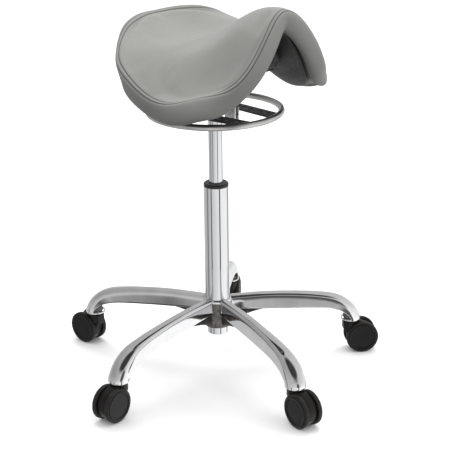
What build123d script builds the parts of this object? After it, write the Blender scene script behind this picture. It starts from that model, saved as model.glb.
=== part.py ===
from build123d import *
from math import atan2, cos, pi, radians, sin
import os

import numpy as np

# Dentist's saddle stool on five twin-wheel casters.
# Millimetres. The origin is on the floor, on the column's axis. +Z is up, and the
# saddle's front (the pommel) points to -Y.

# ---------------------------------------------------------------- driving dimensions
COLUMN_R = 25.0  # outer tube of the gas spring
COLUMN_TOP = 392.0
HUB_TOP = 152.0
HUB_BOTTOM = 92.0
HUB_R = 28.0
TAPER_FOOT_R = 23.0  # the column's taper at the hub's bottom
FOOT_R = 20.8  # the column's foot below the hub
FOOT_BOTTOM = 76.0

ARMS = 5
ARM_REACH = 287.0  # circle of the caster pivots
ARM_ANGLE = 36.75  # first arm, from +X
SOCKET_R = 20.8
SOCKET_BOTTOM = 72.5

ROD_R = 5.0
GAS_R = 14.0
GAS_BORE_R = 11.5
GAS_BOTTOM = 236.0
GAS_TOP = 604.0

WHEEL_R = 34.0
TREAD = 3.5
WHEEL_WIDTH = 11.0
WHEEL_GAP = 21.4  # between the two wheels of one caster
CASTER_TRAIL = 23.5  # from the pivot's axis back to the axle
CASTER_TURN = (0, -16, 4, 5, -6)  # each caster's trail, degrees off its arm

RING_R = 129.5
RING_TUBE_R = 6.25
RING_Z = 546.6
SPIDER_BOTTOM = 545.0
SPIDER_THICK = 3.0
PIVOT_Y = -44.0  # the ring tilts about a pin in front of the column
PIVOT_Z = 547.0
ROCKER_Y = 12.0
ROCKER_Z = 614.0

HOUSING_BOTTOM = 596.0
PLATE_BOTTOM = 628.0
PLATE_THICK = 3.0

PAD_THICK = 36.0
SHELL_THICK = 7.0
SHELL_GAP = 1.2  # glue line between the pad and the shell
FIT = 0.05  # radial clearance of a running fit
GAP = 0.3  # clearance between neighbours that move apart

# The saddle's top is a surface over the plan. Stations run from the rear to the front.
STATION = (-150, -90, -30, 30, 90, 170)  # forward of the column
SPINE = (721, 688, 685, 714, 750, 763)  # height on the centre line
LIFT = (94, 56, 2, -87, -189, -252)  # rise 150 mm to the side, square term
CURL = (-103, -46, -9, 18, 66, 118)  # the same, fourth-power term
RIM_CENTRE = 20.0
RIM_ANGLE = (0, 36, 72, 108, 144, 180)  # from the front
RIM_RADIUS = (146, 191, 188, 215, 166, 173)

os.makedirs("parts", exist_ok=True)


def save(part, name):
    part.label = name
    export_step(part, f"parts/{name}.step")


def turn_profile(points):
    """Solid of revolution about Z from (radius, height) points."""
    with BuildPart() as solid:
        with BuildSketch(Plane.XZ):
            with BuildLine():
                Polyline(*points, close=True)
            make_face()
        revolve(axis=Axis.Z)
    return solid.part


# ---------------------------------------------------------------- five-arm base
ARM_TOP = [
    (16, 154),
    (99, 153),
    (170, 146.5),
    (242, 135.5),
    (281, 116),
    (302, 92),
    (ARM_REACH + SOCKET_R, SOCKET_BOTTOM),
]
ARM_UNDER = [(ARM_REACH - SOCKET_R, 94), (243, 106), (199, 113), (131, 119.5), (57, 126), (16, 128)]
ARM_SIDE = [(14, 13.5), (120, 14.5), (ARM_REACH, 19)]  # distance out, half width
ARM_RIDGE = 9.0  # rounding along the arm's top edges
CHANNEL_HALF = 9.0  # the hollow below each arm
CHANNEL_ROOF = [(50, 147), (99, 146), (170, 139.5), (235, 129.5)]
STEM_R = 5.5

with BuildPart() as arm:
    with BuildSketch(Plane.XZ):
        with BuildLine():
            crest = Spline(*ARM_TOP, tangents=[(1, 0), (0.1, -1)])
            foot = Line(crest @ 1, (ARM_REACH - SOCKET_R, SOCKET_BOTTOM))
            Line(foot @ 1, ARM_UNDER[0])
            under = Spline(*ARM_UNDER)
            Line(under @ 1, crest @ 0)
        make_face()
    extrude(amount=40, both=True)
    with BuildSketch():
        with BuildLine():
            Polyline(*[(x, -y) for x, y in ARM_SIDE], *ARM_SIDE[::-1], close=True)
        make_face()
        with Locations((ARM_REACH, 0)):
            Circle(SOCKET_R)
    extrude(amount=200, mode=Mode.INTERSECT)
    ridge = arm.faces().sort_by(SortBy.AREA)[-3:].sort_by(Axis.Z)[-1]
    fillet(ridge.edges().filter_by_position(Axis.X, 30, 400), radius=ARM_RIDGE)
    with BuildSketch(Plane.XZ):
        with BuildLine():
            roof = Spline(*CHANNEL_ROOF)
            Polyline(roof @ 1, (250, 118), (250, 90), (50, 90), roof @ 0)
        make_face()
    extrude(amount=CHANNEL_HALF, both=True, mode=Mode.SUBTRACT)

hub_profile = [
    (0, HUB_BOTTOM),
    (HUB_R, HUB_BOTTOM),
    (HUB_R, HUB_TOP - 1),
    (HUB_R - 1, HUB_TOP),
    (0, HUB_TOP),
]
with BuildPart() as star_base:
    add(turn_profile(hub_profile))
    with PolarLocations(0, ARMS, start_angle=ARM_ANGLE):
        add(arm.part)
    add(
        turn_profile(
            [
                (0, HUB_BOTTOM),
                (TAPER_FOOT_R, HUB_BOTTOM),
                (COLUMN_R, HUB_TOP),
                (COLUMN_R, HUB_TOP + 5),
                (0, HUB_TOP + 5),
            ]
        ),
        mode=Mode.SUBTRACT,
    )
    with BuildSketch(Plane.XY.offset(SOCKET_BOTTOM)):
        with PolarLocations(ARM_REACH, ARMS, start_angle=ARM_ANGLE):
            Circle(STEM_R)
    extrude(amount=32, mode=Mode.SUBTRACT)
save(star_base.part, "star_base")

# ---------------------------------------------------------------- gas column and spindle
gas_column = turn_profile(
    [
        (5.2, FOOT_BOTTOM),
        (FOOT_R, FOOT_BOTTOM),
        (FOOT_R, HUB_BOTTOM),
        (TAPER_FOOT_R, HUB_BOTTOM),
        (COLUMN_R, HUB_TOP),
        (COLUMN_R, COLUMN_TOP),
        (COLUMN_R - 1.6, COLUMN_TOP),
        (COLUMN_R - 1.6, HUB_TOP),
        (19, HUB_TOP - 20),
        (19, FOOT_BOTTOM + 4),
        (5.2, FOOT_BOTTOM + 4),
    ]
)
save(gas_column, "gas_column")

BUSH_TOP = 399.0
BUSH_LENGTH = 80.0
column_bush = turn_profile(
    [
        (GAS_R + FIT, COLUMN_TOP - BUSH_LENGTH),
        (COLUMN_R - 1.6, COLUMN_TOP - BUSH_LENGTH),
        (COLUMN_R - 1.6, COLUMN_TOP),
        (COLUMN_R, COLUMN_TOP),
        (COLUMN_R, BUSH_TOP - 2),
        (COLUMN_R - 2, BUSH_TOP),
        (GAS_R + 1, BUSH_TOP),
        (GAS_R + FIT, BUSH_TOP - 1),
    ]
)
save(column_bush, "column_bush")

RACE_BOTTOM = FOOT_BOTTOM + 4
BALL_R = 2.0
BALL_CIRCLE = 10.0
RACE_THICK = 2.5
RACE_R = 14.0
race_top = RACE_BOTTOM + RACE_THICK
lower_race = turn_profile([(6, RACE_BOTTOM), (RACE_R, RACE_BOTTOM), (RACE_R, race_top), (6, race_top)])
save(lower_race, "lower_race")

ball_height = race_top + BALL_R
with BuildPart() as bearing_balls:
    with Locations((0, 0, ball_height)):
        with PolarLocations(BALL_CIRCLE, 12):
            Sphere(BALL_R)
save(bearing_balls.part, "bearing_balls")

upper_race_bottom = ball_height + BALL_R + FIT
upper_race = turn_profile(
    [
        (ROD_R, upper_race_bottom),
        (RACE_R, upper_race_bottom),
        (RACE_R, upper_race_bottom + RACE_THICK),
        (ROD_R, upper_race_bottom + RACE_THICK),
    ]
)
save(upper_race, "upper_race")

shoulder = upper_race_bottom + RACE_THICK
bump_top = shoulder + 22
bump_stop = turn_profile(
    [(ROD_R, shoulder), (11, shoulder), (12, shoulder + 6), (9, bump_top), (ROD_R, bump_top)]
)
save(bump_stop, "bump_stop")

PISTON_BOTTOM = 282.0
PISTON_TOP = PISTON_BOTTOM + 12
ROD_BOTTOM = 69.5
piston_rod = turn_profile([(0, ROD_BOTTOM), (ROD_R, ROD_BOTTOM), (ROD_R, PISTON_TOP), (0, PISTON_TOP)])
save(piston_rod, "piston_rod")

rod_clip = turn_profile(
    [(ROD_R, FOOT_BOTTOM - 3), (9, FOOT_BOTTOM - 3), (9, FOOT_BOTTOM - GAP), (ROD_R, FOOT_BOTTOM - GAP)]
)
save(rod_clip, "rod_clip")

piston = turn_profile(
    [
        (ROD_R, PISTON_BOTTOM),
        (GAS_BORE_R - 0.1, PISTON_BOTTOM),
        (GAS_BORE_R - 0.1, PISTON_TOP),
        (ROD_R, PISTON_TOP),
    ]
)
save(piston, "piston")

# ---------------------------------------------------------------- gas cylinder
PIN_R = 2.5
TAPER_START = 570.0
TAPER_TOP_R = 13.2
gas_cylinder = turn_profile(
    [
        (GAS_BORE_R, GAS_BOTTOM),
        (GAS_R, GAS_BOTTOM),
        (GAS_R, TAPER_START),
        (TAPER_TOP_R, GAS_TOP),
        (PIN_R + FIT, GAS_TOP),
        (PIN_R + FIT, GAS_TOP - 20),
        (GAS_BORE_R, GAS_TOP - 20),
    ]
)
save(gas_cylinder, "gas_cylinder")

rod_guide = turn_profile(
    [
        (ROD_R + FIT, GAS_BOTTOM + 1),
        (GAS_BORE_R, GAS_BOTTOM + 1),
        (GAS_BORE_R, GAS_BOTTOM + 15),
        (ROD_R + FIT, GAS_BOTTOM + 15),
    ]
)
save(rod_guide, "rod_guide")

PIN_TOP = 610.4
PIN_BOTTOM = 578.0
release_pin = turn_profile(
    [(0, PIN_BOTTOM), (PIN_R, PIN_BOTTOM), (PIN_R, PIN_TOP - 1), (PIN_R - 1, PIN_TOP), (0, PIN_TOP)]
)
save(release_pin, "release_pin")

# ---------------------------------------------------------------- seat mechanism
SOCKET_FLANGE = HOUSING_BOTTOM - 4
cone_socket = turn_profile(
    [
        (GAS_R + FIT, 562),
        (20, 562),
        (21, SOCKET_FLANGE),
        (25.5, SOCKET_FLANGE),
        (25.5, HOUSING_BOTTOM),
        (TAPER_TOP_R + 0.3, HOUSING_BOTTOM),
        (GAS_R + FIT, TAPER_START),
    ]
)
save(cone_socket, "cone_socket")

HOUSING_WALL = 2.5
HOUSING_X = 34.0
HOUSING_Y = (-62.0, 50.0)
housing_middle = sum(HOUSING_Y) / 2
housing_length = HOUSING_Y[1] - HOUSING_Y[0]
with BuildPart() as mechanism_housing:
    with BuildSketch(Plane.XY.offset(HOUSING_BOTTOM)):
        with Locations((0, housing_middle)):
            RectangleRounded(2 * HOUSING_X, housing_length, 5)
    extrude(amount=PLATE_BOTTOM - HOUSING_BOTTOM)
    with BuildSketch(Plane.XY.offset(HOUSING_BOTTOM + HOUSING_WALL)):
        with Locations((0, housing_middle)):
            RectangleRounded(2 * (HOUSING_X - HOUSING_WALL), housing_length - 2 * HOUSING_WALL, 2.5)
    extrude(amount=40, mode=Mode.SUBTRACT)
    with BuildSketch(Plane.XY.offset(HOUSING_BOTTOM - 1)):
        Circle(TAPER_TOP_R + 1)
        with Locations((0, 31)):
            Rectangle(7.4, 10.5)
    extrude(amount=HOUSING_WALL + 2, mode=Mode.SUBTRACT)
    with BuildSketch(Plane.YZ):
        with Locations((ROCKER_Y, ROCKER_Z)):
            Circle(2.5)
    extrude(amount=60, both=True, mode=Mode.SUBTRACT)
save(mechanism_housing.part, "mechanism_housing")

BRACKET_X = 7.0
BRACKET_Y = (-57.0, -31.0)
BRACKET_BOTTOM = 530.0
bracket_middle = sum(BRACKET_Y) / 2
with BuildPart() as hanger_bracket:
    with BuildSketch(Plane.XY.offset(BRACKET_BOTTOM)):
        with Locations((0, bracket_middle)):
            RectangleRounded(2 * BRACKET_X, BRACKET_Y[1] - BRACKET_Y[0], 1.5)
    extrude(amount=HOUSING_BOTTOM - BRACKET_BOTTOM)
    with BuildSketch(Plane.XY.offset(BRACKET_BOTTOM)):
        with Locations((0, bracket_middle)):
            Rectangle(6.6, 40)
    extrude(amount=32, mode=Mode.SUBTRACT)
    with BuildSketch(Plane.YZ):
        with Locations((PIVOT_Y, PIVOT_Z)):
            Circle(3)
    extrude(amount=20, both=True, mode=Mode.SUBTRACT)
save(hanger_bracket.part, "hanger_bracket")

with BuildPart() as bracket_cover:
    with BuildSketch(Plane.XY.offset(BRACKET_BOTTOM + 32.5)):
        with Locations((0, BRACKET_Y[0] - 1.2)):
            Rectangle(2 * BRACKET_X, 2)
    extrude(amount=HOUSING_BOTTOM - BRACKET_BOTTOM - 33)
save(bracket_cover.part, "bracket_cover")

with BuildPart() as pivot_pin:
    with BuildSketch(Plane.YZ.offset(-8)):
        with Locations((PIVOT_Y, PIVOT_Z)):
            Circle(3)
    extrude(amount=16)
save(pivot_pin.part, "pivot_pin")

with BuildPart() as rocker:
    with BuildSketch(Plane.YZ):
        with Locations((16, ROCKER_Z)):
            SlotOverall(48, 6)
        with Locations((ROCKER_Y, ROCKER_Z)):
            Circle(5)
            Circle(2.5 + FIT, mode=Mode.SUBTRACT)
    extrude(amount=6, both=True)
save(rocker.part, "rocker")

with BuildPart() as rocker_pin:
    with BuildSketch(Plane.YZ.offset(-HOUSING_X - 1.5)):
        with Locations((ROCKER_Y, ROCKER_Z)):
            Circle(2.5)
    extrude(amount=2 * HOUSING_X + 3)
save(rocker_pin.part, "rocker_pin")

PLATE_SIZE = (150.0, 190.0)
SCREW_SPOTS = (116.0, 156.0)
PLATE_TOP = PLATE_BOTTOM + PLATE_THICK
with BuildPart() as seat_plate:
    with BuildSketch(Plane.XY.offset(PLATE_BOTTOM)):
        RectangleRounded(*PLATE_SIZE, 14)
        with GridLocations(*SCREW_SPOTS, 2, 2):
            Circle(3.2, mode=Mode.SUBTRACT)
    extrude(amount=PLATE_THICK)
save(seat_plate.part, "seat_plate")

with BuildPart() as plate_screws:
    with BuildSketch(Plane.XY.offset(PLATE_BOTTOM - 4)):
        with GridLocations(*SCREW_SPOTS, 2, 2):
            Circle(5.5)
    extrude(amount=4)
    with BuildSketch(Plane.XY.offset(PLATE_BOTTOM)):
        with GridLocations(*SCREW_SPOTS, 2, 2):
            Circle(3)
    extrude(amount=14)
    with BuildSketch(Plane.XY.offset(PLATE_BOTTOM - 4)):
        with GridLocations(*SCREW_SPOTS, 2, 2):
            RegularPolygon(3, 6)
    extrude(amount=2.5, mode=Mode.SUBTRACT)
save(plate_screws.part, "plate_screws")

# ---------------------------------------------------------------- release ring
with BuildPart() as release_ring:
    with Locations((0, 0, RING_Z)):
        Torus(RING_R, RING_TUBE_R)
save(release_ring.part, "release_ring")

STRUT_WIDTH = 32.0
FRONT_STRUT = [(50, 4), (40, -120)]
REAR_STRUT = [(50, -4), (74, 102)]
STRUT_LEAN = 12.4  # length per unit of sideways lean, front strut
with BuildPart() as ring_spider:
    with BuildSketch(Plane.XY.offset(SPIDER_BOTTOM)) as spider_plan:
        Rectangle(128, 50)
        with Locations((0, -39)):
            Rectangle(6, 38)
        with Locations((0, 33)):
            Rectangle(24, 24)
        for side in (-1, 1):
            for start, end in (FRONT_STRUT, REAR_STRUT):
                with BuildLine():
                    Line((side * start[0], start[1]), (side * end[0], end[1]))
                trace(line_width=STRUT_WIDTH)
        Circle(RING_R - RING_TUBE_R, mode=Mode.INTERSECT)
        Circle(GAS_R + 6, mode=Mode.SUBTRACT)
        for side in (-1, 1):
            for along in (-30, -52, -74, -96):
                strut_x = FRONT_STRUT[0][0] + along / STRUT_LEAN
                with Locations((side * strut_x, along)):
                    SlotOverall(14, 7, mode=Mode.SUBTRACT)
    extrude(amount=SPIDER_THICK)
    with BuildSketch(Plane.YZ.offset(-3)):
        with Locations((PIVOT_Y, PIVOT_Z)):
            Rectangle(12, 17)
    extrude(amount=6)
    with BuildSketch(Plane.YZ):
        with Locations((PIVOT_Y, PIVOT_Z)):
            Circle(3 + FIT)
    extrude(amount=4, both=True, mode=Mode.SUBTRACT)
save(ring_spider.part, "ring_spider")

PUSH_Y = 32.0
spider_top = SPIDER_BOTTOM + SPIDER_THICK
push_rod = turn_profile([(0, spider_top), (3, spider_top), (3, 606.6), (2, 608.8), (0, 609.4)])
save(Pos(0, PUSH_Y, 0) * push_rod, "push_rod")

SPRING_BOTTOM = spider_top + 1.2
SPRING_TOP = HOUSING_BOTTOM - 1.2
SPRING_COILS = 7
spring_height = SPRING_TOP - SPRING_BOTTOM
with BuildPart() as return_spring:
    with BuildLine():
        coil = Helix(pitch=spring_height / SPRING_COILS, height=spring_height, radius=4.8)
    with BuildSketch(Plane(origin=coil @ 0, z_dir=coil % 0)):
        Circle(0.8)
    sweep(is_frenet=True)
save(Pos(0, PUSH_Y, SPRING_BOTTOM) * return_spring.part, "return_spring")


# ---------------------------------------------------------------- saddle
def through(values, at):
    """Smooth curve through one value per station."""
    scale = 100.0
    return np.polyval(np.polyfit(np.array(STATION) / scale, values, len(STATION) - 1), at / scale)


def top_height(across, forward):
    """Height of the saddle's top, from its spine and its rise to each side."""
    side = (across / 150.0) ** 2
    return through(SPINE, forward) + through(LIFT, forward) * side + through(CURL, forward) * side**2


def rim_radius(angle):
    """Plan radius of the top's rim about the rim centre, angle from the front."""
    cosines = np.cos(np.radians(RIM_ANGLE))
    return np.polyval(np.polyfit(cosines, RIM_RADIUS, len(RIM_ANGLE) - 1), cos(angle))


def rim_point(angle, inset):
    radius = rim_radius(angle) - inset
    return (radius * sin(angle), -RIM_CENTRE - radius * cos(angle))


def half_width(forward):
    """Half width of the top at a station, where the rim's side passes it."""
    angles = np.linspace(radians(30), radians(165), 200)
    reach = [RIM_CENTRE + rim_radius(a) * cos(a) for a in angles]
    width = [rim_radius(a) * sin(a) for a in angles]
    return float(np.interp(forward, reach[::-1], width[::-1]))


SECTIONS = (-150, -125, -90, -45, 5, 55, 100, 140, 186)


def under_top(forward, width, depth):
    """Points of a station's section, a depth below the top at right angles to it."""
    points = []
    for across in np.linspace(-width, width, 13):
        slope = (top_height(across + 1, forward) - top_height(across - 1, forward)) / 2
        tilt = atan2(slope, 1.0)
        points.append((across + depth * sin(tilt), top_height(across, forward) - depth * cos(tilt)))
    return points


def saddle_layer(depth_top, depth_bottom, inset):
    """Closed saddle-shaped layer between two depths below the top, inset from the rim."""
    with BuildPart() as layer:
        for forward in SECTIONS:
            width = half_width(forward) - inset
            upper = under_top(forward, width, depth_top)
            lower = under_top(forward, width, depth_bottom)
            with BuildSketch(Plane.XZ.offset(forward)):
                with BuildLine():
                    Spline(*upper)
                    Line(upper[-1], lower[-1])
                    Spline(*lower[::-1])
                    Line(lower[0], upper[0])
                make_face()
        loft()
        with BuildSketch(Plane.XY.offset(450)):
            with BuildLine():
                Spline(*[rim_point(2 * pi * i / 24, inset) for i in range(24)], periodic=True)
            make_face()
        extrude(amount=400, mode=Mode.INTERSECT)
    return layer.part


seat_pad = saddle_layer(0, PAD_THICK, 0)
save(seat_pad, "seat_pad")

BOSS_SECTIONS = (-101, -55, -5, 50, 101)
BOSS_HALF = 82.0
shell_skin = saddle_layer(PAD_THICK + SHELL_GAP, PAD_THICK + SHELL_GAP + SHELL_THICK, 14)
with BuildPart() as seat_shell:
    for forward in BOSS_SECTIONS:
        ceiling = under_top(forward, BOSS_HALF, PAD_THICK + 3)
        with BuildSketch(Plane.XZ.offset(forward)):
            with BuildLine():
                Spline(*ceiling)
                floor = [(ceiling[-1][0], PLATE_TOP), (ceiling[0][0], PLATE_TOP)]
                Polyline(ceiling[-1], *floor, ceiling[0])
            make_face()
    loft()
    add(shell_skin)
    with BuildSketch(Plane.XY.offset(PLATE_TOP - 1)):
        with GridLocations(*SCREW_SPOTS, 2, 2):
            Circle(3.1)
    extrude(amount=13, mode=Mode.SUBTRACT)
save(seat_shell.part, "seat_shell")

# ---------------------------------------------------------------- casters
AXLE_R = 4.0
WEB_HALF = WHEEL_GAP / 2 - 0.7
NECK_R = 16.0
NECK_TOP = 69.5
NECK_BOTTOM = 2 * WHEEL_R + 0.4
WEB_R = 29.0


def caster_planes(index):
    """Plan plane at the pivot with X along the trail, and the upright plane through it."""
    arm_angle = radians(ARM_ANGLE + 360 / ARMS * index)
    trail_angle = arm_angle + radians(CASTER_TURN[index])
    origin = (ARM_REACH * cos(arm_angle), ARM_REACH * sin(arm_angle), 0)
    along = (cos(trail_angle), sin(trail_angle), 0)
    aside = (sin(trail_angle), -cos(trail_angle), 0)
    plan = Plane(origin=origin, x_dir=along, z_dir=(0, 0, 1))
    upright = Plane(origin=origin, x_dir=along, z_dir=aside)
    return plan, upright


with BuildPart() as caster_stems:
    for k in range(ARMS):
        plan = caster_planes(k)[0]
        with BuildSketch(plan.offset(52)):
            Circle(STEM_R)
        extrude(amount=52)
        with BuildSketch(plan.offset(NECK_TOP + 0.5)):
            Circle(11)
        extrude(amount=SOCKET_BOTTOM - NECK_TOP - 0.5)
save(caster_stems.part, "caster_stems")

for k in range(ARMS):
    number = k + 1
    plan, upright = caster_planes(k)

    with BuildPart() as hood:
        with BuildSketch(upright):
            with BuildLine():
                Polyline(
                    (-NECK_R, NECK_TOP),
                    (NECK_R, NECK_TOP),
                    (34, 62),
                    (CASTER_TRAIL, WHEEL_R),
                    (-NECK_R, 44),
                    close=True,
                )
            make_face()
            with Locations((CASTER_TRAIL, WHEEL_R)):
                Circle(WEB_R)
        extrude(amount=WEB_HALF, both=True)
        with BuildSketch(plan.offset(NECK_BOTTOM)):
            Circle(NECK_R)
        extrude(amount=NECK_TOP - NECK_BOTTOM)
        with BuildSketch(plan.offset(51)):
            Circle(STEM_R + FIT)
        extrude(amount=30, mode=Mode.SUBTRACT)
        with BuildSketch(upright):
            with Locations((CASTER_TRAIL, WHEEL_R)):
                Circle(AXLE_R)
        extrude(amount=30, both=True, mode=Mode.SUBTRACT)
    save(hood.part, f"caster_{number}_hood")

    half_axle = WHEEL_GAP / 2 + WHEEL_WIDTH - 2.5
    with BuildPart() as axle:
        with BuildSketch(upright.offset(-half_axle)):
            with Locations((CASTER_TRAIL, WHEEL_R)):
                Circle(AXLE_R)
        extrude(amount=2 * half_axle)
    save(axle.part, f"caster_{number}_axle")

    for side_name, side in (("left", -1), ("right", 1)):
        inner_face = upright.offset(side * WHEEL_GAP / 2)
        cover_face = upright.offset(side * (WHEEL_GAP / 2 + WHEEL_WIDTH - 2))
        outward = Axis(upright.origin, upright.z_dir * side)
        with BuildPart() as wheel:
            with BuildSketch(inner_face):
                with Locations((CASTER_TRAIL, WHEEL_R)):
                    Circle(WHEEL_R - TREAD)
                    Circle(AXLE_R + FIT, mode=Mode.SUBTRACT)
            extrude(amount=side * (WHEEL_WIDTH - 2))
            with BuildSketch(cover_face):
                with Locations((CASTER_TRAIL, WHEEL_R)):
                    Circle(WHEEL_R - TREAD)
            extrude(amount=side * 2)
            fillet(wheel.edges().filter_by(GeomType.CIRCLE).sort_by(outward)[-1], radius=1.5)
        save(wheel.part, f"caster_{number}_wheel_{side_name}")

        with BuildPart() as tread:
            with BuildSketch(inner_face):
                with Locations((CASTER_TRAIL, WHEEL_R)):
                    Circle(WHEEL_R)
                    Circle(WHEEL_R - TREAD, mode=Mode.SUBTRACT)
            extrude(amount=side * (WHEEL_WIDTH - 2))
        save(tread.part, f"caster_{number}_tread_{side_name}")
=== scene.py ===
import math

import bpy
import numpy as np
from mathutils import Matrix, Vector, noise


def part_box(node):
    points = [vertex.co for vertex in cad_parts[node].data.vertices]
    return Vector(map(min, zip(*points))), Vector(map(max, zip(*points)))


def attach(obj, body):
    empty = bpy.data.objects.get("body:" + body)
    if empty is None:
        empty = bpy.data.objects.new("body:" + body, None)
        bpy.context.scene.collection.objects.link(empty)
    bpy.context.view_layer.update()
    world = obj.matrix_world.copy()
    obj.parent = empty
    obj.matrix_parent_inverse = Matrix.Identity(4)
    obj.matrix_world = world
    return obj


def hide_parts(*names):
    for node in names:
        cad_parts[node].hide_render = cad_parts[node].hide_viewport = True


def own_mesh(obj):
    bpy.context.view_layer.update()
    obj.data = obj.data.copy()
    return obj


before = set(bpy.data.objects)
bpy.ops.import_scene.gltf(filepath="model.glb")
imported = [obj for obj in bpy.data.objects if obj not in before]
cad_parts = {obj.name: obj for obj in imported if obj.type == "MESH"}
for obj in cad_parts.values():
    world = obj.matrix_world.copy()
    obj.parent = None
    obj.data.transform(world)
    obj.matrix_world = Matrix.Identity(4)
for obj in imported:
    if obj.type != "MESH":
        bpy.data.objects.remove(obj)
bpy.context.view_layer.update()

MM = 0.001


# ---------------------------------------------------------------- materials
def new_material(name, **values):
    """Principled material with the constants given, as (material, tree, shader)."""
    made = bpy.data.materials.new(name)
    made.use_nodes = True
    shader = made.node_tree.nodes["Principled BSDF"]
    for socket, value in values.items():
        shader.inputs[socket.replace("_", " ")].default_value = value
    return made, made.node_tree, shader


def node(tree, kind, inputs=None, **settings):
    made = tree.nodes.new("ShaderNode" + kind)
    for key, value in settings.items():
        setattr(made, key, value)
    for key, value in (inputs or {}).items():
        if isinstance(value, bpy.types.NodeSocket):
            tree.links.new(value, made.inputs[key])
        else:
            made.inputs[key].default_value = value
    return made


def place(tree, stretch=(1, 1, 1)):
    where = node(tree, "TexCoord").outputs["Object"]
    return node(tree, "Mapping", {"Vector": where, "Scale": stretch}).outputs["Vector"]


def clouds(tree, where, scale, detail=3.0, rough=0.55):
    made = node(tree, "TexNoise", {"Vector": where, "Scale": scale, "Detail": detail, "Roughness": rough})
    return made.outputs["Fac"]


def spread(tree, value, low, high, start=0.3, end=0.7):
    made = node(tree, "MapRange", {"Value": value, "From Min": start, "From Max": end, "To Min": low,
                                   "To Max": high})
    return made.outputs["Result"]


def tint(tree, value, dark, light, start=0.3, end=0.7):
    made = node(tree, "ValToRGB", {"Fac": value})
    made.color_ramp.elements[0].position = start
    made.color_ramp.elements[1].position = end
    made.color_ramp.elements[0].color = (*dark, 1)
    made.color_ramp.elements[1].color = (*light, 1)
    return made.outputs["Color"]


def blend_colours(tree, share, first, second):
    made = node(tree, "Mix", data_type="RGBA")
    tree.links.new(share, made.inputs[0])
    tree.links.new(first, made.inputs[6])
    tree.links.new(second, made.inputs[7])
    return made.outputs[2]


def bump(tree, shader, height, strength, distance):
    made = node(tree, "Bump", {"Height": height, "Strength": strength, "Distance": distance})
    tree.links.new(made.outputs["Normal"], shader.inputs["Normal"])
    return made


def finish(name, dark, light, rough, scale=30.0, grain=900.0, bump_strength=0.1, bump_depth=0.0002,
           stretch=(1, 1, 1), **values):
    """Material with a mottled colour, a varying gloss and a fine grain."""
    made, tree, shader = new_material(name, **values)
    where = place(tree, stretch)
    mottle = clouds(tree, where, scale)
    fine = clouds(tree, where, grain, 2.0)
    tree.links.new(tint(tree, mottle, dark, light), shader.inputs["Base Color"])
    wander = clouds(tree, where, scale * 3.7, 4.0)
    tree.links.new(spread(tree, wander, *rough), shader.inputs["Roughness"])
    bump(tree, shader, fine, bump_strength, bump_depth)
    return made


def make_leather():
    made, tree, shader = new_material("leather", Sheen_Weight=0.12, Sheen_Roughness=0.45)
    shader.inputs["Specular IOR Level"].default_value = 0.42
    where = place(tree)
    warp = node(tree, "TexNoise", {"Vector": where, "Scale": 260.0, "Detail": 2.0})
    pushed = node(tree, "VectorMath", {0: warp.outputs["Color"], 1: (0.0022,) * 3},
                  operation="MULTIPLY").outputs[0]
    shifted = node(tree, "VectorMath", {0: where, 1: pushed}, operation="ADD").outputs[0]
    pebble = node(tree, "TexVoronoi", {"Vector": shifted, "Scale": 620.0},
                  feature="DISTANCE_TO_EDGE").outputs["Distance"]
    pores = clouds(tree, where, 1500.0, 2.0)
    crease = clouds(tree, where, 95.0, 5.0, 0.6)
    mottle = clouds(tree, where, 9.0, 5.0)
    plain = tint(tree, mottle, (0.236, 0.238, 0.224), (0.268, 0.270, 0.255))
    groove = tint(tree, pebble, (0.62, 0.62, 0.62), (1, 1, 1), 0.0, 0.05)
    coloured = node(tree, "Mix", data_type="RGBA", blend_type="MULTIPLY")
    coloured.inputs[0].default_value = 0.35
    tree.links.new(plain, coloured.inputs[6])
    tree.links.new(groove, coloured.inputs[7])
    # Painted shade: the seam's groove and the stitch troughs beside it are mixed towards near black.
    stitch_trough_and_shade = node(tree, "Attribute", attribute_name="stitch_trough_and_shade").outputs["Fac"]
    shaded = node(tree, "Mix", data_type="RGBA")
    shaded.inputs[7].default_value = (0.045, 0.045, 0.043, 1)
    tree.links.new(stitch_trough_and_shade, shaded.inputs[0])
    tree.links.new(coloured.outputs[2], shaded.inputs[6])
    tree.links.new(shaded.outputs[2], shader.inputs["Base Color"])
    tree.links.new(spread(tree, crease, 0.40, 0.52), shader.inputs["Roughness"])
    low = spread(tree, pebble, 0.0, 1.0, 0.0, 0.09)
    grain = node(tree, "Math", {0: low, 1: pores}, operation="ADD").outputs[0]
    fine = bump(tree, shader, grain, 0.16, 0.00012)
    soft = node(tree, "Bump", {"Height": crease, "Strength": 0.10, "Distance": 0.0012})
    tree.links.new(soft.outputs["Normal"], fine.inputs["Normal"])
    return made


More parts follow.
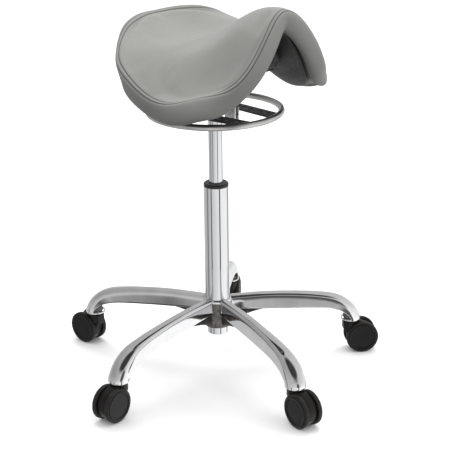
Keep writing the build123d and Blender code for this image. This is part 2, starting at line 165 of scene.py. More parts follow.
def make_polished():
    """Polished die-cast aluminium: mirror-like above; where it faces down, rough as cast and darker, partly as cast
    metal and partly as painted shade.
    """
    made, tree, shader = new_material("polished_aluminium", Metallic=1.0)
    where = place(tree)
    facing = node(tree, "Separate" + "XYZ", {0: node(tree, "TexCoord").outputs["Normal"]}).outputs["Z"]
    # Faces turned down get the rough cast finish and a dark colour, partly cast metal and partly painted shade.
    cast = spread(tree, facing, 1.0, 0.0, -0.86, -0.66)
    swirl = clouds(tree, where, 26.0, 4.0)
    sand = clouds(tree, where, 420.0, 4.0, 0.7)
    bright = tint(tree, swirl, (0.80, 0.80, 0.81), (0.90, 0.90, 0.91))
    cast_grey_and_shade = tint(tree, sand, (0.20, 0.19, 0.18), (0.42, 0.40, 0.385))
    tree.links.new(blend_colours(tree, cast, bright, cast_grey_and_shade), shader.inputs["Base Color"])
    shiny = spread(tree, swirl, 0.05, 0.11)
    rough = node(tree, "Mix", {0: cast, 3: 0.55}, data_type="FLOAT")
    tree.links.new(shiny, rough.inputs[2])
    tree.links.new(rough.outputs[0], shader.inputs["Roughness"])
    depth = node(tree, "Math", {0: sand, 1: cast}, operation="MULTIPLY").outputs[0]
    pitted = bump(tree, shader, depth, 0.5, 0.0008)
    waves = node(tree, "Bump", {"Height": clouds(tree, where, 17.0, 1.5), "Strength": 0.05, "Distance": 0.002})
    tree.links.new(waves.outputs["Normal"], pitted.inputs["Normal"])
    return made


def make_speckled():
    """Black powder coat with pale specks, on the lever's stamped spider."""
    made, tree, shader = new_material("speckled_black", Metallic=0.0)
    where = place(tree)
    cells = node(tree, "TexVoronoi", {"Vector": where, "Scale": 420.0}, feature="F1")
    speck = spread(tree, cells.outputs["Distance"], 1.0, 0.0, 0.10, 0.26)
    base = tint(tree, clouds(tree, where, 60.0), (0.016, 0.016, 0.018), (0.045, 0.044, 0.045))
    pale = tint(tree, clouds(tree, where, 190.0), (0.05, 0.05, 0.05), (0.40, 0.39, 0.38), 0.42, 0.62)
    tree.links.new(blend_colours(tree, speck, base, pale), shader.inputs["Base Color"])
    tree.links.new(spread(tree, clouds(tree, where, 300.0), 0.38, 0.6), shader.inputs["Roughness"])
    bump(tree, shader, clouds(tree, where, 900.0), 0.35, 0.0004)
    return made


LEATHER = make_leather()
ALUMINIUM = make_polished()
SPECKLED = make_speckled()
# Rough cast aluminium for the undersides, darker than bare cast metal: partly the cast finish, partly painted shade.
CAST_AND_SHADE = finish("rough_cast_and_shade", (0.13, 0.125, 0.12), (0.30, 0.285, 0.27), (0.45, 0.65), 120.0, 520.0, 0.6, 0.0009,
              Metallic=1.0)
CHROME = finish("chrome", (0.70, 0.705, 0.715), (0.80, 0.805, 0.815), (0.035, 0.075), 20.0, 240.0, 0.03, 0.0003,
                (1, 1, 0.12), Metallic=1.0)
SATIN = finish("satin_steel", (0.52, 0.515, 0.51), (0.64, 0.635, 0.63), (0.27, 0.37), 22.0, 1100.0, 0.12, 0.0002,
               Metallic=1.0)
STEEL = finish("bearing_steel", (0.52, 0.52, 0.53), (0.66, 0.66, 0.67), (0.16, 0.28), 40.0, 1400.0, 0.06, 0.0001,
               Metallic=1.0)
GALVANISED = finish("light_grey", (0.70, 0.70, 0.70), (0.82, 0.82, 0.815), (0.32, 0.42), 90.0, 700.0, 0.12, 0.0002,
                    Metallic=0.5)
BLACK_PAINT = finish("mechanism_black", (0.014, 0.014, 0.015), (0.030, 0.030, 0.031), (0.34, 0.5), 45.0, 800.0,
                     0.3, 0.0003)
BUSH = finish("bush_black", (0.012, 0.012, 0.012), (0.022, 0.021, 0.021), (0.30, 0.42), 50.0, 900.0, 0.12, 0.0002)
PLASTIC = finish("black_plastic", (0.0070, 0.0060, 0.0062), (0.0115, 0.0100, 0.0100), (0.30, 0.42), 40.0, 1500.0, 0.22, 0.00018,
                 Specular_IOR_Level=0.28)
TREAD = finish("tread", (0.012, 0.011, 0.0095), (0.024, 0.022, 0.019), (0.42, 0.6), 85.0, 1200.0, 0.4, 0.0004,
               Specular_IOR_Level=0.35)
RUBBER = finish("rubber", (0.012, 0.012, 0.012), (0.03, 0.03, 0.03), (0.6, 0.8), 70.0, 1000.0, 0.4, 0.0004)
SHELL = finish("shell", (0.018, 0.0148, 0.0145), (0.030, 0.0255, 0.0250), (0.36, 0.5), 30.0, 1300.0, 0.35, 0.0003)
THREAD = finish("thread", (0.060, 0.060, 0.058), (0.12, 0.12, 0.116), (0.55, 0.7), 600.0, 2600.0, 0.5, 0.0002)

NODE_FINISH = {
    "star_base": ALUMINIUM, "gas_column": CHROME, "column_bush": BUSH, "lower_race": STEEL, "bearing_balls": STEEL,
    "upper_race": STEEL, "bump_stop": RUBBER, "piston_rod": CHROME, "rod_clip": STEEL, "piston": BUSH,
    "gas_cylinder": CHROME, "rod_guide": BUSH, "release_pin": STEEL, "cone_socket": BLACK_PAINT,
    "mechanism_housing": BLACK_PAINT, "hanger_bracket": GALVANISED, "bracket_cover": BUSH, "pivot_pin": STEEL,
    "rocker": STEEL, "rocker_pin": STEEL, "seat_plate": BLACK_PAINT, "plate_screws": STEEL, "release_ring": SATIN,
    "ring_spider": SPECKLED, "push_rod": STEEL, "return_spring": STEEL, "seat_shell": SHELL, "caster_stems": STEEL,
    "seat_pad": LEATHER,
}
for number in range(1, 6):
    NODE_FINISH[f"caster_{number}_hood"] = PLASTIC
    NODE_FINISH[f"caster_{number}_axle"] = STEEL
    for hand in ("left", "right"):
        NODE_FINISH[f"caster_{number}_wheel_{hand}"] = PLASTIC
        NODE_FINISH[f"caster_{number}_tread_{hand}"] = TREAD
for name, coat in NODE_FINISH.items():
    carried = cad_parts[name]
    carried.data.materials.clear()
    carried.data.materials.append(coat)


# ---------------------------------------------------------------- mesh helpers
def mesh_piece(name, points, faces, coat, body, slot, smooth=True, nodes=()):
    """Object from points in millimetres, riding on a body and standing for CAD nodes."""
    data = bpy.data.meshes.new(name)
    data.from_pydata([tuple(float(c) * MM for c in p) for p in points], [], [tuple(f) for f in faces])
    data.validate()
    data.materials.append(coat)
    made = bpy.data.objects.new(name, data)
    bpy.context.scene.collection.objects.link(made)
    if smooth:
        data.polygons.foreach_set("use_smooth", [True] * len(data.polygons))
    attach(made, body)
    if nodes:
        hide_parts(*nodes)
    return made


def grid_faces(rows, columns, wrap=True, start=0):
    """Quads of a grid of points, row after row, closed round each row if asked."""
    faces = []
    for i in range(rows - 1):
        for j in range(columns if wrap else columns - 1):
            k = (j + 1) % columns
            a = start + i * columns
            faces.append((a + j, a + k, a + columns + k, a + columns + j))
    return faces


def soften(profile, rounds=2, closed=False):
    """Corner cutting, which rounds off a polyline."""
    for _ in range(rounds):
        made = [] if closed else [profile[0]]
        count = len(profile) if closed else len(profile) - 1
        for i in range(count):
            p, q = np.array(profile[i], float), np.array(profile[(i + 1) % len(profile)], float)
            made += [tuple(p * 0.75 + q * 0.25), tuple(p * 0.25 + q * 0.75)]
        if not closed:
            made.append(profile[-1])
        profile = made
    return profile


def lathe(profile, origin, axis, steps=72):
    """Points and faces of (radius, distance along the axis) turned about the axis."""
    axis = Vector(axis).normalized()
    side = axis.orthogonal().normalized()
    other = axis.cross(side)
    points = []
    for radius, along in profile:
        for j in range(steps):
            turn = 2 * math.pi * j / steps
            points.append(Vector(origin) + axis * along + (side * math.cos(turn) + other * math.sin(turn)) * radius)
    return points, grid_faces(len(profile), steps)


def smooth_line(keys, count):
    """Catmull-Rom curve through rows of numbers, count points between each pair."""
    keys = np.array(keys, float)
    padded = np.vstack([2 * keys[0] - keys[1], keys, 2 * keys[-1] - keys[-2]])
    made = []
    for i in range(len(keys) - 1):
        p0, p1, p2, p3 = padded[i:i + 4]
        for t in np.arange(count) / count:
            made.append(0.5 * (2 * p1 + (p2 - p0) * t + (2 * p0 - 5 * p1 + 4 * p2 - p3) * t ** 2
                               + (3 * p1 - p0 - 3 * p2 + p3) * t ** 3))
    made.append(keys[-1])
    return np.array(made)


# ---------------------------------------------------------------- saddle surface
# SPINE, LIFT, CURL, RIM_RADIUS and the band's two sizes are rounded results of a least-squares fit of the seat's
# outline, and not sizes chosen by hand. They bear on an open fault.
STATION = (-150, -90, -30, 30, 90, 170)  # forward of the column
SPINE = (721, 688, 685, 714, 750, 763)  # height on the centre line
LIFT = (94, 56, 2, -87, -189, -252)  # rise 150 mm to the side, square term
CURL = (-103, -46, -9, 18, 66, 118)  # the same, fourth-power term
RIM_CENTRE = 20.0
RIM_ANGLE = (0, 36, 72, 108, 144, 180)  # from the front
RIM_RADIUS = (146, 191, 188, 215, 166, 173)


def through(values, at):
    return np.polyval(np.polyfit(np.array(STATION) / 100.0, values, len(STATION) - 1), at / 100.0)


def top_height(across, forward):
    side = (across / 150.0) ** 2
    return through(SPINE, forward) + through(LIFT, forward) * side + through(CURL, forward) * side ** 2


def rim_radius(angle):
    cosines = np.cos(np.radians(RIM_ANGLE))
    return np.polyval(np.polyfit(cosines, RIM_RADIUS, len(RIM_ANGLE) - 1), np.cos(angle))


def on_top(radius, angle):
    """Point of the saddle's top at a plan radius and angle from the front."""
    across, forward = radius * np.sin(angle), RIM_CENTRE + radius * np.cos(angle)
    return np.stack([across, -forward, top_height(across, forward)], -1)


def top_normal(radius, angle):
    across, forward = radius * np.sin(angle), RIM_CENTRE + radius * np.cos(angle)
    slope_x = (top_height(across + 0.5, forward) - top_height(across - 0.5, forward))
    slope_s = (top_height(across, forward + 0.5) - top_height(across, forward - 0.5))
    made = np.stack([-slope_x, slope_s, np.ones_like(slope_x)], -1)
    return made / np.linalg.norm(made, axis=-1, keepdims=True)


def averaged(values, reach):
    weights = np.exp(-0.5 * (np.arange(-3 * reach, 3 * reach + 1) / reach) ** 2)
    weights /= weights.sum()
    return sum(w * np.roll(values, k - 3 * reach, 0) for k, w in enumerate(weights))


def eased(values, reach):
    """A closed run of values without its short waves, and with its long ones near full size."""
    once = averaged(values, reach)
    return 1.6 * once - 0.6 * averaged(once, reach)


AROUND = 216
ANGLES = np.arange(AROUND) * 2 * math.pi / AROUND
RIM = eased(rim_radius(ANGLES), 7) + 1.5 + 4.0 * np.sin(ANGLES) ** 2  # easing draws the lobes in a little
SEAM = eased(on_top(RIM, ANGLES), 4)
SETTLE = SEAM - on_top(RIM, ANGLES)  # how far the seam's edge lies from the top's own surface
SEAM_NORMAL = top_normal(RIM, ANGLES)
along_seam = np.roll(SEAM, -1, 0) - np.roll(SEAM, 1, 0)
along_seam /= np.linalg.norm(along_seam, axis=1, keepdims=True)
OUTWARD = np.cross(SEAM_NORMAL, along_seam)
OUTWARD *= np.sign(np.sum(OUTWARD * np.stack([np.sin(ANGLES), -np.cos(ANGLES), 0 * ANGLES], -1), 1))[:, None]
OUTWARD /= np.linalg.norm(OUTWARD, axis=1, keepdims=True)
SEAM_LENGTH = float(np.linalg.norm(np.roll(SEAM, -1, 0) - SEAM, axis=1).sum())

BAND_OUT, BAND_DOWN = 12.0, 22.0
SLACK = 1.6  # the pad starts this far inside its finished face, and swells


def band_point(turn):
    """Row of the side band, turned down from the seam."""
    return (SEAM + BAND_OUT * math.sin(turn) * OUTWARD - BAND_DOWN * (1 - math.cos(turn)) * SEAM_NORMAL)


def pad_rows():
    """Rows of the leather cover from the middle of the top to the middle of its underside.
    Each is (points, distance from the seam, pinned)."""
    rows = []
    inner = [150, 130, 112, 96, 82, 70, 60, 51, 43, 36, 30, 25, 20.5, 16.5, 13, 10, 8, 6.6, 5.4, 4.4, 3.6, 2.9,
             2.2, 1.5, 0.8]
    for back in inner:
        radius = np.maximum(RIM - back, 0.02 * RIM) if back < 120 else RIM * (1 - back / 155.0)
        near = (radius / RIM)[:, None] ** 5
        rows.append((on_top(radius, ANGLES) + near * SETTLE, -back, back < 7))
    rows.insert(0, (on_top(RIM * 0.015, ANGLES), -155.0, False))
    rows.append((SEAM.copy(), 0.0, True))
    for ahead in (0.8, 1.5, 2.2, 2.9, 3.6, 4.4, 5.4, 6.6, 8.2):
        rows.append((band_point(ahead / BAND_OUT), ahead, ahead < 7))
    for turn in np.radians(np.arange(50, 236, 10.5)):
        rows.append((band_point(turn), 8.2 + (turn - math.radians(39)) * 18, turn > math.radians(200)))
    for inset, depth in ((16, 34.5), (26, 35), (45, 35), (75, 35), (110, 35)):
        radius = np.maximum(RIM - inset, 6.0)
        rows.append((on_top(radius, ANGLES) - depth * top_normal(radius, ANGLES), 90.0, True))
    rows.append((on_top(RIM * 0.02, ANGLES) - 35 * top_normal(RIM * 0.02, ANGLES), 90.0, True))
    return rows


def vertex_normals(points):
    """Normals of a grid of rows round the saddle, outward."""
    ahead = np.roll(points, -1, 1) - np.roll(points, 1, 1)
    down = np.gradient(points, axis=0)
    made = np.cross(ahead, down)
    made /= np.maximum(np.linalg.norm(made, axis=2, keepdims=True), 1e-9)
    return made * np.sign(made[2, :, 2].mean())


def swell(piece, pinned, cap):
    """Blows the pad up against its seams with Cloth, and keeps the result."""
    group = piece.vertex_groups.new(name="held")
    group.add([int(i) for i in np.flatnonzero(pinned)], 1.0, "REPLACE")
    cloth = piece.modifiers.new("Cloth", "CLOTH")
    how = cloth.settings
    how.quality = 5
    how.mass = 0.3
    how.tension_stiffness = how.compression_stiffness = 12
    how.bending_stiffness = 1.5
    how.use_pressure = True
    how.uniform_pressure_force = 4.0
    how.vertex_group_mass = group.name
    how.effector_weights.gravity = 0.0
    cloth.collision_settings.use_self_collision = False
    scene = bpy.context.scene
    cloth.point_cache.frame_start, cloth.point_cache.frame_end = 1, 20
    for number in range(1, 21):
        scene.frame_set(number)
    settled = piece.evaluated_get(bpy.context.evaluated_depsgraph_get()).data
    moved = np.empty(3 * len(settled.vertices))
    settled.vertices.foreach_get("co", moved)
    piece.modifiers.remove(cloth)
    scene.frame_set(1)
    start = np.array([v.co for v in piece.data.vertices])
    shift = moved.reshape(-1, 3) - start
    length = np.linalg.norm(shift, axis=1, keepdims=True)
    shift *= np.minimum(1.0, cap / np.maximum(length, 1e-9))
    piece.data.vertices.foreach_set("co", (start + shift).astype(np.float32).ravel())
    piece.data.update()


def pad_relief(gap, seam_place):
    """Height of the seam's relief above the swollen pad, gap in mm from the seam (+ is down the band)."""
    groove = 0.7 * math.exp(-(gap / 2.0) ** 2) - 0.5 * math.exp(-(gap / 0.5) ** 2)
    stitch_trough_and_shade = -1.1 * math.exp(-((abs(gap) - 3.6) / 0.9) ** 2)
    swollen = 0.4 * math.exp(-((abs(gap) - 8.0) / 4.0) ** 2)
    reach = math.exp(-((abs(gap) - 5.0) / 6.0) ** 2) if abs(gap) < 28 else 0.0
    gather = noise.noise(Vector((seam_place / 9.0, gap / 26.0, 3.1))) * 0.34 * reach
    return groove + stitch_trough_and_shade + swollen + gather


def make_pad():
    rows = pad_rows()
    points = np.array([r[0] for r in rows])
    gaps = np.array([r[1] for r in rows])
    pinned = np.repeat(np.array([r[2] for r in rows]), AROUND)
    normals = vertex_normals(points)
    ease = np.clip((np.abs(gaps) - 6.0) / 16.0, 0, 1) * (gaps < 80)
    points = points - normals * (SLACK * ease)[:, None, None]
    faces = grid_faces(len(rows), AROUND)
    faces = [f[::-1] for f in faces]
    last = (len(rows) - 1) * AROUND
    faces.append(tuple(range(AROUND)))
    faces.append(tuple(last + j for j in range(AROUND))[::-1])
    pad = mesh_piece("seat_leather", points.reshape(-1, 3), faces, LEATHER, "seat", "leather", nodes=("seat_pad",))
    swell(pad, pinned, 2.6 * MM)
    grown = np.array([v.co for v in pad.data.vertices]).reshape(len(rows), AROUND, 3) / MM
    normals = vertex_normals(grown)
    places = np.arange(AROUND) / AROUND * SEAM_LENGTH
    for i, gap in enumerate(gaps):
        if abs(gap) > 34:
            continue
        for j in range(AROUND):
            grown[i, j] += normals[i, j] * pad_relief(float(gap), float(places[j]))
    pad.data.vertices.foreach_set("co", (grown * MM).astype(np.float32).ravel())
    pad.data.update()
    # Painted shade along the seam: strongest in the stitch troughs 3.6 mm each side, weaker in the groove itself.
    shade = [0.2 * math.exp(-(g / 0.4) ** 2) + math.exp(-((abs(g) - 3.6) / 0.8) ** 2) for g in gaps]
    marks = pad.data.attributes.new("stitch_trough_and_shade", "FLOAT", "POINT")
    marks.data.foreach_set("value", np.repeat(np.array(shade, np.float32), AROUND))
    fine = pad.modifiers.new("Subdivision", "SUBSURF")
    fine.levels = fine.render_levels = 1
    return grown, normals, gaps


def row_at(gaps, wanted):
    return int(np.argmin(np.abs(gaps - wanted)))


def make_stitches(grown, normals, gaps):
    """Two rows of thread, one each side of the seam."""
    points, faces = [], []
    ring = 6
    body = [(-1.0, 0.15), (-0.82, 0.75), (-0.35, 1.0), (0.35, 1.0), (0.82, 0.75), (1.0, 0.15)]
    for wanted in (-3.6, 3.6):
        i = row_at(gaps, wanted)
        line, up = grown[i], normals[i]
        lengths = np.linalg.norm(np.roll(line, -1, 0) - line, axis=1)
        total = lengths.sum()
        marks = np.concatenate([[0], np.cumsum(lengths)])
        count = int(total / 4.3)
        for n in range(count):
            at = total * n / count
            j = int(np.searchsorted(marks, at, side="right") - 1) % AROUND
            share = (at - marks[j]) / lengths[j]
            k = (j + 1) % AROUND
            centre = line[j] * (1 - share) + line[k] * share
            forward = line[k] - line[j]
            forward /= np.linalg.norm(forward)
            lift = up[j] * (1 - share) + up[k] * share
            lift /= np.linalg.norm(lift)
            side = np.cross(forward, lift)
            forward = forward + side * 0.10
            start = len(points)
            for along, fat in body:
                for m in range(ring):
                    turn = 2 * math.pi * m / ring
                    height = math.sin(turn) * 0.40 * fat + 0.22 - 0.30 * along ** 2
                    offset = side * math.cos(turn) * 0.42 * fat + lift * height
                    points.append(centre + forward * along * 1.62 + offset)
            faces += grid_faces(len(body), ring, start=start)
            faces.append(tuple(start + m for m in range(ring))[::-1])
            faces.append(tuple(start + (len(body) - 1) * ring + m for m in range(ring)))
    mesh_piece("seat_stitching", points, faces, THREAD, "seat", "leather")


BLOCK_HALF, BLOCK_CORNER, BLOCK_BOTTOM = np.array([76.0, 96.0]), 14.0, 631.2  # it sits on the seat plate


def shell_rows():
    """Rows of the moulded shell under the pad: its top, its rounded edge and its underside with a block
    that comes down to the seat plate."""
    places = [(150 - 12 * n, 36.0) for n in range(11)]
    edge_inset, edge_depth, edge_r = 18.0, 39.2, 3.2
    places += [(edge_inset - edge_r * math.sin(t), edge_depth - edge_r * math.cos(t))
               for t in np.radians(np.arange(0, 181, 20))]
    places += [(22.0 + 4.0 * n, 42.4) for n in range(34)]
    rows = []
    for inset, depth in places:
        radius = np.maximum(RIM - inset, 0.02 * RIM)
        near = (radius / RIM)[:, None] ** 5
        row = on_top(radius, ANGLES) + near * SETTLE - depth * top_normal(radius, ANGLES)
        if depth > 42:
            corner = np.abs(row[:, :2]) - (BLOCK_HALF - BLOCK_CORNER)
            outside = np.linalg.norm(np.maximum(corner, 0), axis=1) - BLOCK_CORNER
            share = np.clip(1 - outside / 9.0, 0, 1)
            share = share * share * (3 - 2 * share)
            row[:, 2] = row[:, 2] * (1 - share) + BLOCK_BOTTOM * share
        rows.append(row)
    return rows


def make_shell():
    rows = shell_rows()
    faces = [f[::-1] for f in grid_faces(len(rows), AROUND)]
    last = (len(rows) - 1) * AROUND
    faces.append(tuple(range(AROUND)))
    faces.append(tuple(last + j for j in range(AROUND))[::-1])
    mesh_piece("seat_underpan", np.array(rows).reshape(-1, 3), faces, SHELL, "seat", "shell", nodes=("seat_shell",))


pad_grid = make_pad()
make_stitches(*pad_grid)
make_shell()


# ---------------------------------------------------------------- five-arm base
ARM_KEYS = (  # top r, top z, lower edge r, z, half width, crown height, roundness, taper
    (26.5, 154, 26.5, 126, 13.4, 12, 3.2, 0.26),
    (60, 153.6, 58, 124.5, 13.8, 12, 3.2, 0.26),
    (99, 152.6, 95, 120.8, 14.2, 12, 3.2, 0.26),
    (135, 150.0, 130, 118.0, 14.6, 12, 3.1, 0.26),
    (170, 146.3, 164, 115.0, 15.2, 12, 3.0, 0.25),
    (206, 141.5, 198, 111.8, 16.2, 12.5, 2.9, 0.22),
    (242, 134.6, 229, 108.0, 17.6, 13.5, 2.7, 0.17),
    (264, 126.8, 246, 103.8, 18.8, 15, 2.5, 0.12),
    (281, 116.0, 260, 98.8, 19.7, 17, 2.3, 0.07),
    (294, 103.4, 270, 92.0, 20.4, 19, 2.1, 0.03),
    (302.4, 90.5, 277.5, 85.4, 20.8, 20.8, 2.0, 0.0),
    (306.8, 80.5, 281.5, 78.6, 20.8, 20.8, 2.0, 0.0),
    (307.8, 72.6, 282.8, 72.6, 20.8, 20.8, 2.0, 0.0),
)
ARM_ANGLE, ARM_REACH = 36.75, 287.0
CROWN_STEPS, WALL = 28, 4.2


def arm_section(crown, taper, half, height, tall, round_power):
    """Section of an arm: (across, up) from its lower edge, outside and back along the inside."""
    straight = tall - height
    outer = []
    for u in np.linspace(0, 1, 7)[:-1]:
        outer.append((half, u * straight))
    for turn in np.linspace(0, math.pi, CROWN_STEPS):
        c, s = math.cos(turn), math.sin(turn)
        x = half * math.copysign(abs(c) ** (2 / round_power), c)
        y = straight + height * abs(s) ** (2 / round_power)
        outer.append((x, y))
    for u in np.linspace(1, 0, 7)[1:]:
        outer.append((-half, u * straight))
    outer = [(x * (1 - taper * y / tall), y) for x, y in outer]
    inner = [(-(half - WALL), 0), (-(half - WALL) * 0.93, crown * 0.6), (-(half - WALL) * 0.62, crown),
             (0, crown * 1.04), ((half - WALL) * 0.62, crown), ((half - WALL) * 0.93, crown * 0.6), (half - WALL, 0)]
    return outer + inner


def make_arms():
    line = smooth_line(ARM_KEYS, 8)
    points, faces = [], []
    for k in range(5):
        turn = math.radians(ARM_ANGLE + 72 * k)
        away, aside = np.array([math.cos(turn), math.sin(turn), 0]), np.array([-math.sin(turn), math.cos(turn), 0])
        start = len(points)
        for top_r, top_z, low_r, low_z, half, height, power, taper in line:
            low, up = np.array([low_r, low_z]), np.array([top_r - low_r, top_z - low_z])
            tall = float(np.linalg.norm(up))
            up /= tall
            section = arm_section(tall - WALL - 1.5, taper, half, min(height, tall - 1), tall, power)
            for across, rise in section:
                flat = low + up * rise
                points.append(away * flat[0] + aside * across + np.array([0, 0, flat[1]]))
            width = len(section)
        faces += grid_faces(len(line), width, start=start)
        faces.append(tuple(range(start, start + width))[::-1])
        end = start + (len(line) - 1) * width
        outer = width - 7
        inner_ids = [end + outer + m for m in range(7)]
        outer_ids = [end + m for m in range(outer)]
        faces.append(tuple(outer_ids + inner_ids))
    return points, faces


def join_parts(parts):
    points, faces = [], []
    for some, more in parts:
        start = len(points)
        points += [tuple(p) for p in some]
        faces += [tuple(start + i for i in f) for f in more]
    return points, faces


def ribs_and_bosses():
    """The rough undersides: a web below each arm and the five socket bosses."""
    parts = []
    web = soften([(18, 124), (18, 93), (30, 99.5), (62, 111), (112, 119.5), (150, 121.5), (150, 125)], 1, True)
    for k in range(5):
        turn = math.radians(ARM_ANGLE + 72 * k)
        away, aside = np.array([math.cos(turn), math.sin(turn), 0]), np.array([-math.sin(turn), math.cos(turn), 0])
        points = [away * r + aside * w + np.array([0, 0, z]) for w in (-4.2, 4.2) for r, z in web]
        count = len(web)
        faces = [(j, (j + 1) % count, count + (j + 1) % count, count + j) for j in range(count)]
        faces += [tuple(range(count))[::-1], tuple(range(count, 2 * count))]
        parts.append((points, faces))
        boss = soften([(5.6, 74.2), (15.8, 74.2), (15.8, 83), (12, 90), (0.5, 94)], 1)
        parts.append(lathe(boss, tuple(away * ARM_REACH), (0, 0, 1), 40))
    return join_parts(parts)


points, faces = make_arms()
arms = mesh_piece("star_arms", points, faces, ALUMINIUM, "base", "polished_aluminium", nodes=("star_base",))
edge = arms.modifiers.new("Bevel", "BEVEL")
edge.width, edge.segments, edge.limit_method, edge.angle_limit = 0.0012, 3, "ANGLE", math.radians(55)
points, faces = ribs_and_bosses()
# The webs and bosses under the arms take the cast finish with its painted shade.
mesh_piece("star_ribs", points, faces, CAST_AND_SHADE, "base", "polished_aluminium")

hub = soften([(25.3, 146.5), (29.0, 146.5), (29.2, 149), (28.2, 152.5), (25.3, 153.4)], 2)
rings = [lathe(hub, (0, 0, 0), (0, 0, 1), 96)]
for k in range(5):
    turn = math.radians(ARM_ANGLE + 72 * k)
    centre = (ARM_REACH * math.cos(turn), ARM_REACH * math.sin(turn), 0)
    lip = soften([(17.9, 75.6), (20.6, 75.9), (20.8, 74.4), (20.5, 72.6), (18.2, 72.5), (17.8, 74.0)], 2, True)
    rings.append(lathe(lip + [lip[0]], centre, (0, 0, 1), 64))
points, faces = join_parts(rings)
mesh_piece("star_hub", points, faces, ALUMINIUM, "base", "polished_aluminium")
# The sleeve under the hub takes the cast finish with its painted shade.
sleeve = [(23.3, 92.2), (26.4, 92.2), (27.0, 94), (27.6, 118), (28.6, 122), (28.8, 146.6)]
points, faces = lathe(soften(sleeve, 1), (0, 0, 0), (0, 0, 1), 120)
for n, p in enumerate(points):
    if 93 < p.z < 119 and n % 120 % 6 < 2:
        p.x *= 0.965
        p.y *= 0.965
mesh_piece("hub_sleeve", points, faces, CAST_AND_SHADE, "base", "polished_aluminium")

# ---------------------------------------------------------------- casters
CASTER_TURN = (0, -16, 4, 5, -6)
TRAIL, WHEEL_R, WHEEL_INNER = 23.5, 34.0, 10.7
COVER = [(4.3, 0.4), (29.9, 0.4), (30.2, 1.0), (30.2, 8.9), (30.0, 9.9), (29.0, 10.8), (27.6, 11.0), (26.2, 10.7),
         (25.3, 9.9), (24.9, 9.2), (23.8, 8.9), (14.0, 9.15), (0.4, 9.3)]
TYRE = [(30.2, 0.5), (32.6, 0.3), (33.8, 1.2), (34.0, 2.6), (34.0, 7.0), (33.7, 8.4), (32.6, 9.3), (31.2, 9.7),
        (30.2, 9.5)]


def hood_outline():
    """Side outline of the web between the wheels, X along the trail and Y up."""
    made = [(-16, 69.3), (-16, 52), (-10, 43)]
    for turn in range(-175, 62, 9):
        a = math.radians(turn)
        made.append((TRAIL + 29.6 * math.cos(a), WHEEL_R + 29.6 * math.sin(a)))
    made += [(33.5, 62.5), (24, 66.6), (16, 69.3)]
    return made


def prism(outline, plane_point, half):
    count = len(outline)
    points = [plane_point(x, y, w) for w in (-half, half) for x, y in outline]
    faces = [(j, (j + 1) % count, count + (j + 1) % count, count + j) for j in range(count)]
    faces += [tuple(range(count))[::-1], tuple(range(count, 2 * count))]
    return points, faces


for k in range(5):
    number = k + 1
    arm_turn = math.radians(ARM_ANGLE + 72 * k)
    trail_turn = arm_turn + math.radians(CASTER_TURN[k])
    pivot = Vector((ARM_REACH * math.cos(arm_turn), ARM_REACH * math.sin(arm_turn), 0))
    trail = Vector((math.cos(trail_turn), math.sin(trail_turn), 0))
    aside = Vector((math.sin(trail_turn), -math.cos(trail_turn), 0))
    axle = pivot + trail * TRAIL + Vector((0, 0, WHEEL_R))

    def at(x, y, w):
        return pivot + trail * x + aside * w + Vector((0, 0, y))

    web = prism(hood_outline(), at, 9.9)
    hood = mesh_piece(f"caster_{number}_body", *web, PLASTIC, f"caster_{number}", "black_plastic",
                      nodes=(f"caster_{number}_hood",))
    edge = hood.modifiers.new("Bevel", "BEVEL")
    edge.width, edge.segments, edge.limit_method, edge.angle_limit = 0.0018, 3, "ANGLE", math.radians(40)
    neck = [(5.8, 69.3), (15.6, 69.3), (16, 68.8), (16, 58), (15.2, 50), (12, 46), (1, 45)]
    mesh_piece(f"caster_{number}_neck", *lathe(soften(neck, 2), pivot, (0, 0, 1), 64), PLASTIC,
               f"caster_{number}", "black_plastic")
    for hand, side in (("left", -1), ("right", 1)):
        origin = axle + aside * side * WHEEL_INNER
        mesh_piece(f"caster_{number}_cover_{hand}", *lathe(soften(COVER, 2), origin, aside * side, 80), PLASTIC,
                   f"caster_{number}_{hand}", "black_plastic", nodes=(f"caster_{number}_wheel_{hand}",))
        mesh_piece(f"caster_{number}_tyre_{hand}", *lathe(soften(TYRE, 2), origin, aside * side, 80), TREAD,
                   f"caster_{number}_{hand}", "tread", nodes=(f"caster_{number}_tread_{hand}",))


# ---------------------------------------------------------------- return spring
SPRING_TURNS, COIL_R, WIRE_R = 7, 4.8, 0.8


def make_spring():
    """Compression spring round the push rod, riding on the ring."""
    low, high = (np.array(corner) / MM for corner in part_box("return_spring"))
    middle, bottom, top = (low + high) / 2, low[2] + WIRE_R + 0.05, high[2] - WIRE_R - 0.05
    steps, around = SPRING_TURNS * 28, 10
    points = []
    for n in range(steps + 1):
        turn, height = 2 * math.pi * n / 28, bottom + (top - bottom) * n / steps
        for m in range(around):
            side = 2 * math.pi * m / around
            reach = COIL_R + WIRE_R * math.cos(side)
            points.append((middle[0] + reach * math.cos(turn), middle[1] + reach * math.sin(turn),
                           height + WIRE_R * math.sin(side)))
    faces = grid_faces(steps + 1, around)
    faces += [tuple(range(around))[::-1], tuple(steps * around + m for m in range(around))]
    spring = mesh_piece("ring_spring", points, faces, STEEL, "ring", "bearing_steel", nodes=("return_spring",))
    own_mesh(spring)


make_spring()


